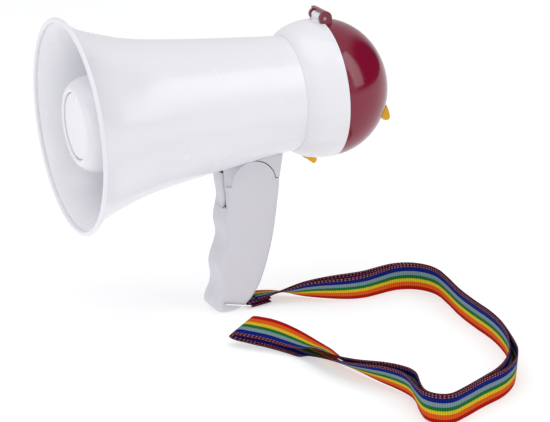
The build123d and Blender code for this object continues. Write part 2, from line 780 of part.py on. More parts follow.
with BuildPart() as talk_switch:
    with BuildSketch(horn_plane):
        with Locations((switch_x + 2.5, -58.0)):
            Rectangle(5.0, 10.0)
    extrude(amount=3.0, both=True)
    with BuildSketch(horn_plane):
        with Locations((switch_x - 0.3, -57.0)):
            Rectangle(1.0, 1.8)
    extrude(amount=1.4, both=True)

# ---------------------------------------------------------------- wire bail and strap tab
bar_x = 100.8
bar_z = -122.3
leg_y = handle_half + 1.2

with BuildPart() as wire_bail:
    with BuildLine() as bail_path:
        FilletPolyline(at(bail_x, handle_half - 2.0, bail_z), at(bail_x, leg_y, bail_z),
                       at(bar_x, leg_y, bar_z), at(bar_x, -leg_y, bar_z),
                       at(bail_x, -leg_y, bail_z), at(bail_x, 2.0 - handle_half, bail_z), radius=1.0)
    with BuildSketch(Plane(origin=bail_path.line @ 0, z_dir=bail_path.line % 0)):
        Circle(bail_wire)
    sweep()

tab_y = -2.9
tab_rear_x = 114.3

with BuildPart() as strap_tab:
    with BuildSketch(side_plane(tab_y)):
        with BuildLine():
            Polyline((tab_rear_x, -124 + 0.3), (tab_rear_x, -124 + 4.6), (106, -124 + 4.2), (bar_x, bar_z + 1.6))
            ThreePointArc((bar_x, bar_z + 1.6), (bar_x - 1.6, bar_z), (bar_x, bar_z - 1.6))
            Line((bar_x, bar_z - 1.6), (tab_rear_x, -124 + 0.3))
        make_face()
        with Locations((bar_x, bar_z)):
            Circle(bail_wire + 0.1, mode=Mode.SUBTRACT)
    extrude(amount=ribbon_width / 2, both=True)

# ---------------------------------------------------------------- strap
strap_route = [(17.2, -2.9), (22.8, -4.2), (31.0, -8.4), (42.0, -17.6), (54.5, -27.6), (67.0, -31.2), (79.0, -28.2),
               (91.0, -25.6), (102.2, -31.4), (108.4, -44.6), (106.8, -63.0), (103.6, -84.0),
               (102.6, -106.0), (102.8, -128.0), (99.6, -149.0), (93.4, -170.0), (85.2, -189.0),
               (71.0, -204.6), (54.0, -212.6), (39.6, -220.6), (27.4, -226.4), (18.6, -216.4),
               (21.4, -201.4), (26.2, -186.0), (22.4, -170.6), (15.4, -153.4), (9.8, -135.2),
               (6.2, -116.6), (5.6, -98.6), (-0.6, -85.4), (-9.6, -73.6), (-18.6, -64.8),
               (-25.4, -54.6)]


def route_radii(points):
    """For each corner, 0.45 of its shorter run over the tangent of half its turn."""
    radii = []
    for before, corner, after in zip(points, points[1:], points[2:]):
        run_in = Vector(*corner) - Vector(*before)
        run_out = Vector(*after) - Vector(*corner)
        turn = run_in.get_angle(run_out)
        radii.append(0.45 * min(run_in.length, run_out.length) / tan(radians(turn / 2)))
    return radii


strap_radii = route_radii(strap_route)
print("strap arc radii", [round(r, 1) for r in strap_radii])

with BuildPart() as strap:
    with BuildSketch():
        with BuildLine() as strap_line:
            FilletPolyline(*strap_route, radius=strap_radii)
        trace(line_width=ribbon_stack)
    extrude(amount=ribbon_width)

strap_length = sum(edge.length for edge in strap_line.line.edges())
print("strap length", round(strap_length, 1), "volume", round(strap.part.volume),
      "section x length", round(strap_length * ribbon_stack * ribbon_width))

# ---------------------------------------------------------------- files
pieces = {
    "horn": horn,
    "reflector_bullet": bullet,
    "bullet_cap": bullet_cap,
    "throat_tube": throat_tube,
    "bullet_spider": spider,
    "speaker_baffle": baffle,
    "speaker_frame": driver_frame,
    "speaker_diaphragm": diaphragm,
    "voice_coil": voice_coil,
    "magnet_plate": magnet_plate,
    "speaker_magnet": driver_magnet,
    "speaker_yoke": driver_yoke,
    "speaker_screws": driver_screws,
    "rear_housing": rear_housing,
    "hinge_pin": hinge_pin,
    "rear_cover": cover_finished,
    "cover_catch": cover_catch,
    "cover_latch": cover_latch,
    "latch_spring": latch_spring,
    "mode_knob": mode_knob,
    "mode_switch": mode_switch,
    "control_board": control_board,
    "mic_grille": mic_grille,
    "mic_boot": mic_boot,
    "mic_capsule": mic_capsule,
    "battery_tray": battery_tray,
    "batteries": batteries,
    "battery_contacts": battery_contacts,
    "battery_springs": battery_springs,
    "tray_posts": tray_posts,
    "tray_screws": tray_screws,
    "amp_board": amp_board,
    "amp_components": amp_components,
    "handle_left": handle_left,
    "handle_right": handle_right,
    "handle_screws": handle_screws,
    "handle_bolt": handle_bolt,
    "handle_bracket": handle_bracket,
    "trigger": trigger,
    "trigger_pin": trigger_pin,
    "trigger_spring": trigger_spring,
    "talk_switch": talk_switch,
    "wire_bail": wire_bail,
    "strap_tab": strap_tab,
    "strap": strap,
}
for label, piece in pieces.items():
    save(piece.part, label)
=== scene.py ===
import math

import bmesh
import bpy
import numpy as np
from mathutils import Matrix, Vector


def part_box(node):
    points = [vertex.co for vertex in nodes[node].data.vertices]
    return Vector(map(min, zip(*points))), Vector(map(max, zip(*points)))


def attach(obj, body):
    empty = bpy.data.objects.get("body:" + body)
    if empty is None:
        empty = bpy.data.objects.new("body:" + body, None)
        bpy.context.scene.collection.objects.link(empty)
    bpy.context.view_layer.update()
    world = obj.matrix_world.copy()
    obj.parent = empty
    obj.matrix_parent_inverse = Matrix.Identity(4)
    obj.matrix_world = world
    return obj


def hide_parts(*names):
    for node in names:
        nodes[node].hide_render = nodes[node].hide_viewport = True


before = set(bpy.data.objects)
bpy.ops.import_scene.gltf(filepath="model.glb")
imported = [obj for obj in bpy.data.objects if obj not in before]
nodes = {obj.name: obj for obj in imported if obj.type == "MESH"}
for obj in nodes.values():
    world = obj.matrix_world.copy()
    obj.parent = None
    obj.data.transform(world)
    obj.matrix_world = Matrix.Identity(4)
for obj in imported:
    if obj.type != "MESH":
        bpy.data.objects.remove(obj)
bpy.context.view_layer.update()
scene = bpy.context.scene
print("megaphone frame loaded:", len(nodes), "nodes")

# the camera looks down on the object from the bell side
cameraView = {
    "azimuth": -21.80,
    "elevation": 18.18,
    "roll": -2.90,
    "place": (-0.52238, -1.37124, 0.53824),
    "lens": 172.67,
}


def addCamera(view):
    azimuth, elevation, roll = (math.radians(view[k]) for k in ("azimuth", "elevation", "roll"))
    back = Vector((math.sin(azimuth) * math.cos(elevation), -math.cos(azimuth) * math.cos(elevation),
                   math.sin(elevation)))
    right = (-back).cross(Vector((0, 0, 1))).normalized()
    up = right.cross(-back)
    rolledRight = math.cos(roll) * right + math.sin(roll) * up
    rolledUp = math.cos(roll) * up - math.sin(roll) * right
    data = bpy.data.cameras.new("viewCamera")
    data.lens = view["lens"]
    data.sensor_width = 36
    data.clip_start, data.clip_end = 0.1, 20
    camera = bpy.data.objects.new("viewCamera", data)
    scene.collection.objects.link(camera)
    turn = Matrix((rolledRight, rolledUp, back)).transposed()
    camera.matrix_world = Matrix.Translation(Vector(view["place"])) @ turn.to_4x4()
    scene.camera = camera


addCamera(cameraView)
scene.view_settings.view_transform = "Standard"


class Shade:
    # a small wrapper that keeps node building short

    def __init__(self, name):
        self.material = bpy.data.materials.new(name)
        self.material.use_nodes = True
        self.tree = self.material.node_tree
        self.shader = self.tree.nodes["Principled BSDF"]
        self.coords = self.tree.nodes.new("ShaderNodeTexCoord")

    def node(self, kind, **values):
        made = self.tree.nodes.new(kind)
        for key, value in values.items():
            setattr(made, key, value)
        return made

    def join(self, output, socket):
        self.tree.links.new(output, socket)

    def noise(self, scale, detail=4.0, rough=0.55, source=None):
        made = self.node("ShaderNodeTexNoise")
        made.inputs["Scale"].default_value = scale
        made.inputs["Detail"].default_value = detail
        made.inputs["Roughness"].default_value = rough
        self.join(source or self.coords.outputs["Object"], made.inputs["Vector"])
        return made.outputs["Fac"]

    def stretched(self, scale, uv=False):
        mapping = self.node("ShaderNodeMapping")
        mapping.inputs["Scale"].default_value = scale
        self.join(self.coords.outputs["UV" if uv else "Object"], mapping.inputs["Vector"])
        return mapping.outputs["Vector"]

    def math(self, operation, first, second=None, third=None, clamp=False):
        made = self.node("ShaderNodeMath", operation=operation, use_clamp=clamp)
        for index, value in enumerate((first, second, third)):
            if value is None:
                continue
            if isinstance(value, (int, float)):
                made.inputs[index].default_value = value
            else:
                self.join(value, made.inputs[index])
        return made.outputs[0]

    def spread(self, value, low, high, newLow, newHigh):
        made = self.node("ShaderNodeMapRange")
        self.join(value, made.inputs["Value"])
        for name, number in (("From Min", low), ("From Max", high), ("To Min", newLow), ("To Max", newHigh)):
            made.inputs[name].default_value = number
        return made.outputs["Result"]

    def mix(self, factor, first, second):
        made = self.node("ShaderNodeMix", data_type="RGBA")
        if isinstance(factor, (int, float)):
            made.inputs["Factor"].default_value = factor
        else:
            self.join(factor, made.inputs["Factor"])
        for socket, value in (("A", first), ("B", second)):
            target = [s for s in made.inputs if s.name == socket and s.type == "RGBA"][0]
            if isinstance(value, tuple):
                target.default_value = (*value, 1)
            else:
                self.join(value, target)
        return [s for s in made.outputs if s.type == "RGBA"][0]

    def bands(self, value, stops):
        made = self.node("ShaderNodeValToRGB")
        made.color_ramp.interpolation = "CONSTANT"
        points = made.color_ramp.elements
        while len(points) < len(stops):
            points.new(0.5)
        for point, (place, color) in zip(points, stops):
            point.position = place
            point.color = (*color, 1)
        self.join(value, made.inputs["Fac"])
        return made.outputs["Color"]

    def bump(self, height, distance, strength=1.0, under=None):
        made = self.node("ShaderNodeBump")
        made.inputs["Strength"].default_value = strength
        made.inputs["Distance"].default_value = distance
        self.join(height, made.inputs["Height"])
        if under:
            self.join(under, made.inputs["Normal"])
        return made.outputs["Normal"]

    def color(self, output):
        self.join(output, self.shader.inputs["Base Color"])

    def roughness(self, output):
        self.join(output, self.shader.inputs["Roughness"])

    def normal(self, output):
        self.join(output, self.shader.inputs["Normal"])

    def fixed(self, **values):
        for name, value in values.items():
            self.shader.inputs[name.replace("_", " ")].default_value = value


def moulded(name, look):
    # injection-moulded plastic: faint flow clouds, fine texture, uneven gloss
    shade = Shade(name)
    clouds = shade.noise(look["cloudScale"], 3.0)
    shade.color(shade.mix(shade.spread(clouds, 0.3, 0.7, 0, 1), look["color"], look["shadeColor"]))
    handling = shade.noise(look["cloudScale"] * 5, 6.0, 0.65)
    shade.roughness(shade.spread(handling, 0.25, 0.75, look["gloss"][0], look["gloss"][1]))
    grain = shade.noise(look["grainScale"], 3.0, 0.6)
    waves = shade.noise(look["waveScale"], 1.0, 0.4)
    soft = shade.bump(waves, look["waveDepth"])
    shade.normal(shade.bump(grain, look["grainDepth"], 1.0, soft))
    shade.fixed(IOR=1.52, Specular_IOR_Level=look.get("specular", 0.5), Coat_Weight=look.get("coat", 0.0),
                Coat_Roughness=0.08)
    return shade.material


def metal(name, look):
    # drawn or stamped metal: fine scratches one way, dull spots
    shade = Shade(name)
    lines = shade.noise(1.0, 4.0, 0.7, shade.stretched(look["lines"]))
    spots = shade.noise(180, 4.0, 0.6)
    shade.color(shade.mix(shade.spread(spots, 0.35, 0.75, 0, 1), look["color"], look["dull"]))
    shade.roughness(shade.spread(lines, 0.3, 0.7, look["gloss"][0], look["gloss"][1]))
    shade.normal(shade.bump(lines, look["depth"]))
    shade.fixed(Metallic=1.0)
    return shade.material


plasticLooks = {
    "hornWhite": {"color": (0.835, 0.83, 0.87), "shadeColor": (0.81, 0.805, 0.85), "gloss": (0.18, 0.30),
                  "cloudScale": 14, "grainScale": 2600, "grainDepth": 0.000004, "waveScale": 60,
                  "waveDepth": 0.00003, "coat": 0.1},
    "handleWhite": {"color": (0.68, 0.665, 0.715), "shadeColor": (0.645, 0.63, 0.68), "gloss": (0.42, 0.56),
                    "cloudScale": 20, "grainScale": 3000, "grainDepth": 0.00001, "waveScale": 90,
                    "waveDepth": 0.00006},
    "domeRed": {"color": (0.215, 0.004, 0.030), "shadeColor": (0.19, 0.003, 0.025), "gloss": (0.10, 0.17),
                "cloudScale": 16, "grainScale": 2400, "grainDepth": 0.000003, "waveScale": 70,
                "waveDepth": 0.0001, "coat": 0.0},
    "amberYellow": {"color": (0.86, 0.47, 0.012), "shadeColor": (0.76, 0.40, 0.01), "gloss": (0.30, 0.40),
                    "cloudScale": 60, "grainScale": 3000, "grainDepth": 0.000004, "waveScale": 150,
                    "waveDepth": 0.00004, "specular": 0.35},
    "blackPlastic": {"color": (0.016, 0.016, 0.018), "shadeColor": (0.026, 0.026, 0.028),
                     "gloss": (0.38, 0.55), "cloudScale": 50, "grainScale": 3200,
                     "grainDepth": 0.00001, "waveScale": 120,
                     "waveDepth": 0.00003},
    "greyPlastic": {"color": (0.12, 0.13, 0.14), "shadeColor": (0.15, 0.16, 0.17), "gloss": (0.4, 0.55),
                    "cloudScale": 50, "grainScale": 3200, "grainDepth": 0.00001, "waveScale": 120,
                    "waveDepth": 0.00003},
    "softRubber": {"color": (0.018, 0.018, 0.018), "shadeColor": (0.03, 0.03, 0.03), "gloss": (0.7, 0.85),
                   "cloudScale": 80, "grainScale": 2500, "grainDepth": 0.00003, "waveScale": 200,
                   "waveDepth": 0.00003, "specular": 0.3},
    "ferrite": {"color": (0.035, 0.035, 0.038), "shadeColor": (0.06, 0.06, 0.062), "gloss": (0.45, 0.7),
                "cloudScale": 120, "grainScale": 1800, "grainDepth": 0.00004, "waveScale": 300,
                "waveDepth": 0.00003},
    "stitchThread": {"color": (0.16, 0.012, 0.03), "shadeColor": (0.10, 0.008, 0.02), "gloss": (0.6, 0.8),
                     "cloudScale": 300, "grainScale": 4000, "grainDepth": 0.00003, "waveScale": 600,
                     "waveDepth": 0.00002, "specular": 0.25},
    "paperCone": {"color": (0.05, 0.05, 0.05), "shadeColor": (0.075, 0.072, 0.07), "gloss": (0.75, 0.9),
                  "cloudScale": 200, "grainScale": 1500, "grainDepth": 0.00005, "waveScale": 400,
                  "waveDepth": 0.00003, "specular": 0.2},
}
metalLooks = {
    "plateSteel": {"color": (0.62, 0.62, 0.64), "dull": (0.50, 0.50, 0.52), "gloss": (0.20, 0.40),
                   "lines": (300, 300, 4000), "depth": 0.000006},
    "pinSteel": {"color": (0.30, 0.30, 0.31), "dull": (0.20, 0.20, 0.21), "gloss": (0.24, 0.42),
                 "lines": (3500, 300, 3500), "depth": 0.000008},
    "bailSteel": {"color": (0.72, 0.72, 0.74), "dull": (0.58, 0.57, 0.57), "gloss": (0.14, 0.30),
                  "lines": (2500, 300, 2500), "depth": 0.000006},
    "coilCopper": {"color": (0.75, 0.36, 0.18), "dull": (0.55, 0.24, 0.12), "gloss": (0.25, 0.45),
                   "lines": (6000, 200, 200), "depth": 0.00003},
}
materials = {name: moulded(name, look) for name, look in plasticLooks.items()}
materials.update({name: metal(name, look) for name, look in metalLooks.items()})


boardLook = {
    "mask": (0.012, 0.09, 0.035),
    "maskWorn": (0.016, 0.11, 0.045),
    "track": (0.03, 0.19, 0.08),
    "pad": (0.55, 0.55, 0.56),
    "trackScale": 260,
    "trackWidth": 0.04,
    "padScale": 420,
    "padSize": 0.16,
    "padHeight": 0.00004,
    "gloss": (0.25, 0.5),
}
cellLook = {
    "jacket": (0.02, 0.05, 0.14),
    "band": (0.55, 0.30, 0.06),
    "endMetal": (0.6, 0.6, 0.61),
    "jacketHalf": 0.0214,
    "bandStart": 0.010,
    "gloss": (0.2, 0.38),
}


def boardMaterial(name, look):
    # green solder mask with tracks and tinned pads
    shade = Shade(name)
    tracks = shade.node("ShaderNodeTexBrick")
    tracks.inputs["Scale"].default_value = look["trackScale"]
    tracks.inputs["Mortar Size"].default_value = look["trackWidth"]
    for socket, tone in (("Color1", "mask"), ("Color2", "maskWorn"), ("Mortar", "track")):
        tracks.inputs[socket].default_value = (*look[tone], 1)
    shade.join(shade.coords.outputs["Object"], tracks.inputs["Vector"])
    pads = shade.node("ShaderNodeTexVoronoi")
    pads.inputs["Scale"].default_value = look["padScale"]
    shade.join(shade.coords.outputs["Object"], pads.inputs["Vector"])
    padMask = shade.math("LESS_THAN", pads.outputs["Distance"], look["padSize"])
    shade.color(shade.mix(padMask, tracks.outputs["Color"], look["pad"]))
    shade.roughness(shade.spread(shade.noise(900), 0.3, 0.7, *look["gloss"]))
    shade.normal(shade.bump(padMask, look["padHeight"]))
    return shade.material


def cellMaterial(name, look):
    # a plain printed jacket with bare metal ends
    shade = Shade(name)
    split = shade.node("ShaderNodeSeparateXYZ")
    shade.join(shade.coords.outputs["Object"], split.inputs["Vector"])
    ends = shade.math("GREATER_THAN", shade.math("ABSOLUTE", split.outputs["Y"]), look["jacketHalf"])
    band = shade.math("GREATER_THAN", split.outputs["Y"], look["bandStart"])
    jacket = shade.mix(band, look["jacket"], look["band"])
    shade.color(shade.mix(ends, jacket, look["endMetal"]))
    shade.roughness(shade.spread(shade.noise(700), 0.3, 0.7, *look["gloss"]))
    shade.join(ends, shade.shader.inputs["Metallic"])
    shade.normal(shade.bump(shade.noise(1500), 0.00001))
    return shade.material


materials["circuitBoard"] = boardMaterial("circuitBoard", boardLook)
materials["cellJacket"] = cellMaterial("cellJacket", cellLook)

# colours across the ribbon from its dark red edge, as shares of the width
ribbonWeave = {
    "stripes": [(0.0, (0.10, 0.004, 0.018)), (0.12, (0.004, 0.016, 0.22)), (0.285, (0.25, 0.35, 0.40)),
                (0.43, (0.008, 0.20, 0.045)), (0.565, (0.88, 0.60, 0.025)), (0.69, (0.88, 0.135, 0.012)),
                (0.855, (0.55, 0.006, 0.003))],
    "ribPitch": 0.0013,
    "dashPitch": 0.0021,
    "dashRows": (0.035, 0.105),
    "dashHalf": 0.012,
    "dashColor": (0.62, 0.42, 0.46),
    "dashStrength": 0.55,
    "edgeWander": 0.012,
    "threadCount": 46,
    "ribShade": (0.5, 0.95),
    "clothDepth": 0.00009,
}


def ribbonMaterial(name, weave):
    # grosgrain: cross ribs, woven stripes and light dashes along the dark edge
    shade = Shade(name)
    split = shade.node("ShaderNodeSeparateXYZ")
    shade.join(shade.coords.outputs["UV"], split.inputs["Vector"])
    along, across = split.outputs["X"], split.outputs["Y"]

    def wave(value, perUnit):
        return shade.math("SINE", shade.math("MULTIPLY", value, 2 * math.pi * perUnit))

    uneven = shade.noise(300, 2.0, 0.5, shade.stretched((1, 1, 1), uv=True))
    wander = shade.spread(uneven, 0, 1, -weave["edgeWander"], weave["edgeWander"])
    stripes = shade.bands(shade.math("ADD", across, wander), weave["stripes"])
    ribs = shade.math("MULTIPLY", wave(along, 1 / weave["ribPitch"]), 0.8)
    threads = shade.math("MULTIPLY", wave(across, weave["threadCount"]), 0.2)
    cloth = shade.math("ADD", ribs, threads)
    # painted shade: the stripe colour is darkened in the valleys of the ribs and threads, on top of their bump
    lit = shade.spread(cloth, -1, 1, *weave["ribShade"])
    fuzz = shade.spread(shade.noise(9000, 3.0, 0.6), 0.2, 0.8, 0.88, 1.08)
    scaled = shade.node("ShaderNodeVectorMath", operation="SCALE")
    shade.join(stripes, scaled.inputs[0])
    shade.join(shade.math("MULTIPLY", lit, fuzz), scaled.inputs["Scale"])
    onDash = shade.math("GREATER_THAN", wave(along, 1 / weave["dashPitch"]), 0.1)
    rows = []
    for row in weave["dashRows"]:
        away = shade.math("ABSOLUTE", shade.math("SUBTRACT", across, row))
        rows.append(shade.math("LESS_THAN", away, weave["dashHalf"]))
    dashes = shade.math("MULTIPLY", onDash, shade.math("MAXIMUM", *rows))
    cover = shade.math("MULTIPLY", dashes, weave["dashStrength"])
    shade.color(shade.mix(cover, scaled.outputs["Vector"], weave["dashColor"]))
    shade.roughness(shade.spread(shade.noise(5000), 0.3, 0.7, 0.72, 0.9))
    shade.normal(shade.bump(cloth, weave["clothDepth"], 0.8))
    shade.fixed(Specular_IOR_Level=0.06)
    return shade.material


materials["rainbowRibbon"] = ribbonMaterial("rainbowRibbon", ribbonWeave)
print("materials ready:", len(materials))


def newPiece(name, vertices, faces, material, uvs):
    mesh = bpy.data.meshes.new(name)
    mesh.from_pydata([tuple(v) for v in vertices], [], faces)
    mesh.materials.append(materials[material])
    layer = mesh.uv_layers.new(name="ribbonUV")
    for loop in mesh.loops:
        layer.data[loop.index].uv = uvs[loop.vertex_index]
    for face in mesh.polygons:
        face.use_smooth = True
    mesh.update()
    piece = bpy.data.objects.new(name, mesh)
    scene.collection.objects.link(piece)
    return piece


# columns of faces across a ribbon, and how thin its outermost column is
bandColumns = 8
bandEdge = 0.55


def ribbonBand(name, centres, acrosses, width, thickness, material):
    # a thin band: a top and a bottom sheet with its two edges and two ends closed
    count = len(centres)
    centres, acrosses = np.array(centres), np.array(acrosses)
    tangents = np.gradient(centres, axis=0)
    tangents /= np.linalg.norm(tangents, axis=1)[:, None]
    run = np.concatenate([[0], np.cumsum(np.linalg.norm(np.diff(centres, axis=0), axis=1))])
    normals = np.cross(tangents, acrosses)
    normals /= np.linalg.norm(normals, axis=1)[:, None]
    vertices, uvs, faces = [], [], []
    ring = 2 * (bandColumns + 1)
    for i in range(count):
        for side in (1, -1):
            for j in range(bandColumns + 1)[::side]:
                share = j / bandColumns
                edge = bandEdge if j in (0, bandColumns) else 1.0
                vertices.append(centres[i] + acrosses[i] * (0.5 - share) * width
                                + normals[i] * side * thickness / 2 * edge)
                uvs.append((run[i], share))
    for i in range(count - 1):
        for j in range(ring):
            beside = (j + 1) % ring
            faces.append((i * ring + j, i * ring + beside, (i + 1) * ring + beside, (i + 1) * ring + j))
    faces.append(tuple(range(ring - 1, -1, -1)))
    faces.append(tuple((count - 1) * ring + j for j in range(ring)))
    piece = newPiece(name, vertices, faces, material, uvs)
    mesh = piece.data
    form = bmesh.new()
    form.from_mesh(mesh)
    bmesh.ops.recalc_face_normals(form, faces=form.faces)
    form.to_mesh(mesh)
    form.free()
    return piece


# the strap: one ribbon, doubled, standing on its edge with two half twists
strap = {
    "width": 0.0165,
    "thickness": 0.0006,
    "step": 0.0016,
    "route": [(8.6, -2.9, 4.4), (12.6, -2.9, 4.4), (17.2, -3.2, 4.4), (22.8, -5.6, 4.8), (31.0, -11.0, 5.8),
              (42.0, -19.8, 7.4), (54.5, -28.4, 8.25), (67.0, -31.2, 8.25), (79.0, -28.2, 8.25),
              (91.0, -25.6, 8.25), (102.2, -31.4, 8.25), (108.4, -44.6, 8.25), (106.8, -63.0, 8.25),
              (103.6, -84.0, 8.25), (102.6, -106.0, 8.25), (102.8, -128.0, 8.25), (99.6, -149.0, 8.25),
              (93.4, -170.0, 8.25), (85.2, -189.0, 8.25), (71.0, -204.6, 8.25), (54.0, -212.6, 8.25),
              (39.6, -220.6, 8.25), (27.4, -226.4, 8.25), (18.6, -216.4, 8.25), (21.4, -201.4, 8.25),
              (26.2, -186.0, 8.0), (22.4, -170.6, 7.6), (15.4, -153.4, 6.8), (9.8, -135.2, 5.8),
              (6.2, -116.6, 4.6), (5.6, -98.6, 3.2), (-0.6, -85.4, 4.6), (-9.6, -73.6, 7.0),
              (-16.4, -66.6, 7.4), (-22.0, -58.8, 7.0)],
    # run along the strap in mm against the ribbon's lean in degrees; 0 stands with the dark edge up
    "lean": [(0, -90), (8, -88), (14, -78), (22, -60), (30, -42), (40, -30), (62, -8), (84, 0),
             (340, 0), (372, 8), (395, 22), (412, 40), (428, 52), (444, 62), (456, 74), (466, 88),
             (478, 106), (492, 126), (506, 134), (530, 136)],
    # half the angle between the two layers, in degrees
    "splay": [(0, 0), (40, 2), (58, 9), (80, 8), (98, 3), (118, 1), (150, 1), (235, 1), (262, 7), (284, 6),
              (304, 2), (352, 2), (372, 7), (390, 4), (410, 2), (450, 4), (480, 5), (496, 12), (530, 13)],
    # extra distance between the layers, in mm
    "part": [(0, 0.0), (50, 0.1), (235, 0.1), (262, 0.7), (284, 0.7), (304, 0.1), (352, 0.2), (372, 0.9),
             (390, 0.5), (430, 0.4), (455, 1.3), (472, 1.0), (486, 0.4), (505, 1.0), (530, 1.2)],
    # how far the ribbon's dark edge runs ahead of its red edge towards the fold, in degrees
    "skew": [(0, 0), (482, 0), (496, 8), (507, 27), (530, 34)],
    "foldLength": 0.0060,
    "foldSteps": 16,
    # the strap lies on its tab for this run, and rests on the floor by twice as far
    "tabEnd": 0.018,
    "smoothing": 30,
    "skewSmoothing": 20,
    "restSmoothing": 12,
}


def strapLine(points):
    curve = bpy.data.curves.new("strapRoute", "CURVE")
    curve.dimensions = "3D"
    curve.resolution_u = 24
    line = curve.splines.new("NURBS")
    line.points.add(len(points) - 1)
    for point, place in zip(line.points, points):
        point.co = (*(c / 1000 for c in place), 1)
    line.order_u = 3
    line.use_endpoint_u = True
    routeObject = bpy.data.objects.new("strapRoute", curve)
    scene.collection.objects.link(routeObject)
    bpy.context.view_layer.update()
    mesh = bpy.data.meshes.new_from_object(routeObject.evaluated_get(bpy.context.evaluated_depsgraph_get()))
    line = np.array([v.co[:] for v in mesh.vertices], float)
    bpy.data.objects.remove(routeObject)
    bpy.data.meshes.remove(mesh)
    return line


def resample(line, step):
    run = np.concatenate([[0], np.cumsum(np.linalg.norm(np.diff(line, axis=0), axis=1))])
    places = np.linspace(0, run[-1], int(round(run[-1] / step)) + 1)
    return np.column_stack([np.interp(places, run, line[:, k]) for k in range(3)]), places


def table(rows, run):
    marks, values = zip(*rows)
    return np.interp(run * 1000, marks, values)


def smoothed(values, passes):
    for _ in range(passes):
        values[1:-1] = (values[:-2] + 2 * values[1:-1] + values[2:]) / 4
    return values


def makeStrap(look):
    line, run = resample(strapLine(look["route"]), look["step"])
    length = run[-1]
    tangents = np.gradient(line, axis=0)
    tangents /= np.linalg.norm(tangents, axis=1)[:, None]
    flat = np.column_stack([-tangents[:, 1], tangents[:, 0], np.zeros(len(line))])
    flat /= np.linalg.norm(flat, axis=1)[:, None]
    lift = np.cross(tangents, flat)
    passes = look["smoothing"]
    lean = np.radians(smoothed(table(look["lean"], run), passes))[:, None]
    splay = np.radians(smoothed(table(look["splay"], run), passes))[:, None]
    part = smoothed(table(look["part"], run), passes)[:, None] / 1000
    skew = np.radians(smoothed(table(look["skew"], run), look["skewSmoothing"]))[:, None]
    across = np.cos(lean) * lift + np.sin(lean) * flat
    outward = -np.sin(lean) * lift + np.cos(lean) * flat
    half = look["width"] / 2
    offset = part + half * np.sin(splay)
    # past the tab the lower edge of the ribbon rests on the floor
    reach = (np.cos(splay) * np.abs(across) + np.sin(splay) * np.abs(outward))[:, 2]
    resting = half * reach + look["thickness"] / 2 + np.abs(outward[:, 2]) * offset[:, 0]
    resting = smoothed(resting, look["restSmoothing"])
    past = np.clip((run - look["tabEnd"]) / look["tabEnd"], 0, 1)
    line[:, 2] = np.maximum(resting, (1 - past) * line[:, 2] + past * resting)
    body = run < length - look["foldLength"]

    def layer(way):
        side = np.cos(splay) * across + way * np.sin(splay) * outward
        side = np.cos(skew) * side + np.sin(skew) * tangents
        return list((line + way * outward * offset)[body]), list(side[body])

    def fold():
        # half a turn from the outgoing layer to the returning one
        end = int(body.sum()) - 1
        ahead, opened, slant = tangents[end], splay[end, 0], skew[end, 0]
        places, sides = [], []
        for step in range(1, look["foldSteps"]):
            turn = math.pi * step / look["foldSteps"]
            outTo = math.cos(turn) * outward[end]
            reachAhead = look["foldLength"] * math.sin(turn)
            places.append(line[end] + outTo * offset[end] + ahead * reachAhead)
            side = math.cos(opened) * across[end] + math.sin(opened) * (outTo + math.sin(turn) * ahead)
            sides.append(math.cos(slant) * side + math.sin(slant) * ahead)
        return places, sides

    outgoing, returning, turned = layer(1), layer(-1), fold()
    centres = outgoing[0] + turned[0] + returning[0][::-1]
    sides = outgoing[1] + turned[1] + returning[1][::-1]
    piece = ribbonBand("ribbonStrap", centres, sides, look["width"], look["thickness"], "rainbowRibbon")
    ribbonLength = np.linalg.norm(np.diff(np.array(centres), axis=0), axis=1).sum()
    print("strap: mid line", round(length * 1000), "mm, ribbon", round(ribbonLength * 1000), "mm")
    return piece, line


ribbonStrap, strapPath = makeStrap(strap)
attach(ribbonStrap, "body")
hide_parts("strap")

# the ribbon's folded end round the bail
tab = {
    "centreY": -0.0029,
    "width": 0.0165,
    "plyThickness": 0.0011,
    "path": [(16.4, 2.9), (14.0, 2.95), (10.0, 2.9), (7.0, 2.9), (5.0, 2.95), (3.2, 2.95), (2.2, 2.45),
             (1.95, 1.7), (2.4, 1.05), (3.6, 0.68), (6.0, 0.65), (10.0, 0.65), (14.0, 0.65), (16.4, 0.7)],
    "rearLean": 4,
    "leanStart": 0.002,
    "leanRun": 0.0126,
    "pathStep": 0.0006,
    "smoothing": 8,
    "stitchRows": (0.0046, 0.0072),
    "stitchInset": 0.0012,
    "topHeight": 0.00295,
    "threadSides": 8,
    "stitchPitch": 0.0016,
    "stitchLength": 0.0011,
    "threadRadius": 0.00016,
    "threadRise": 0.0001,
}


def makeTab(look):
    points = np.array([(x / 1000, look["centreY"], z / 1000) for x, z in look["path"]])
    line = resample(points, look["pathStep"])[0]
    line = np.column_stack([smoothed(line[:, k].copy(), look["smoothing"]) for k in range(3)])
    rear = np.clip((line[:, 0] - line[:, 0].min() - look["leanStart"]) / look["leanRun"], 0, 1)
    lean = np.radians(look["rearLean"]) * rear
    sides = np.column_stack([np.zeros(len(line)), -np.cos(lean), np.sin(lean)])
    line[:, 2] += look["width"] / 2 * np.sin(lean)
    return ribbonBand("ribbonTab", line, sides, look["width"], look["plyThickness"], "rainbowRibbon")


ribbonTab = makeTab(tab)
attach(ribbonTab, "bail")
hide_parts("strap_tab")
print("strap and tab made")


